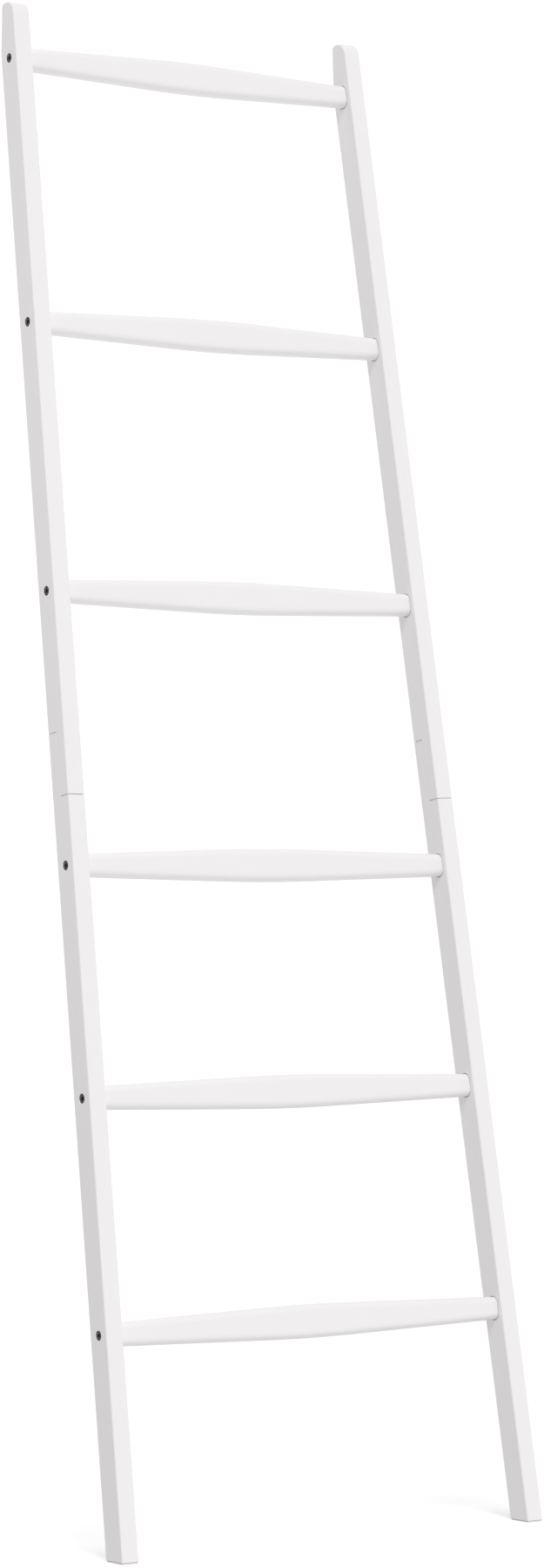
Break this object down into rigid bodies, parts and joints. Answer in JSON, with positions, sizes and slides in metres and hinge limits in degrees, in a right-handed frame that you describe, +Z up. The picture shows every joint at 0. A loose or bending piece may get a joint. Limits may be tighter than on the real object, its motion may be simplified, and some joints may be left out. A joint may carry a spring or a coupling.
{
  "type": "leaning blanket ladder",
  "caption": "Leaning ladder rack for hanging blankets: tapering side rails in two spliced lengths, slatted rungs that swell at the middle, and tops planed upright to rest on a wall.",
  "frame": {"origin": "on the floor, midway between the rails and midway between the front of the feet and the wall", "axes": "+X across the ladder to the right rail as seen from the front, +Y back to the wall, +Z up"},
  "size_m": [0.5594, 0.288, 1.6792],
  "materials": {
    "painted_wood": "white satin paint, grain just showing",
    "dark_bolt": "dark bronze oxide",
    "zinc_insert": "zinc plated",
    "foot_rubber": "matt pale grey rubber"
  },
  "bodies": {
    "root": {"left_foot_pad": "foot_rubber", "left_lower_rail": "painted_wood", "left_upper_rail": "painted_wood", "right_foot_pad": "foot_rubber", "right_lower_rail": "painted_wood", "right_upper_rail": "painted_wood", "rung_1": "painted_wood", "rung_2": "painted_wood", "rung_3": "painted_wood", "rung_4": "painted_wood", "rung_5": "painted_wood", "rung_6": "painted_wood", "rung_bolt_left_1": "dark_bolt", "rung_bolt_left_2": "dark_bolt", "rung_bolt_left_3": "dark_bolt", "rung_bolt_left_4": "dark_bolt", "rung_bolt_left_5": "dark_bolt", "rung_bolt_left_6": "dark_bolt", "rung_bolt_right_1": "dark_bolt", "rung_bolt_right_2": "dark_bolt", "rung_bolt_right_3": "dark_bolt", "rung_bolt_right_4": "dark_bolt", "rung_bolt_right_5": "dark_bolt", "rung_bolt_right_6": "dark_bolt", "rung_insert_left_1": "zinc_insert", "rung_insert_left_2": "zinc_insert", "rung_insert_left_3": "zinc_insert", "rung_insert_left_4": "zinc_insert", "rung_insert_left_5": "zinc_insert", "rung_insert_left_6": "zinc_insert", "rung_insert_right_1": "zinc_insert", "rung_insert_right_2": "zinc_insert", "rung_insert_right_3": "zinc_insert", "rung_insert_right_4": "zinc_insert", "rung_insert_right_5": "zinc_insert", "rung_insert_right_6": "zinc_insert", "splice_bolt_left_lower": "dark_bolt", "splice_bolt_left_upper": "dark_bolt", "splice_bolt_right_lower": "dark_bolt", "splice_bolt_right_upper": "dark_bolt", "splice_insert_left_lower": "zinc_insert", "splice_insert_left_upper": "zinc_insert", "splice_insert_right_lower": "zinc_insert", "splice_insert_right_upper": "zinc_insert"}
  },
  "joints": []
}
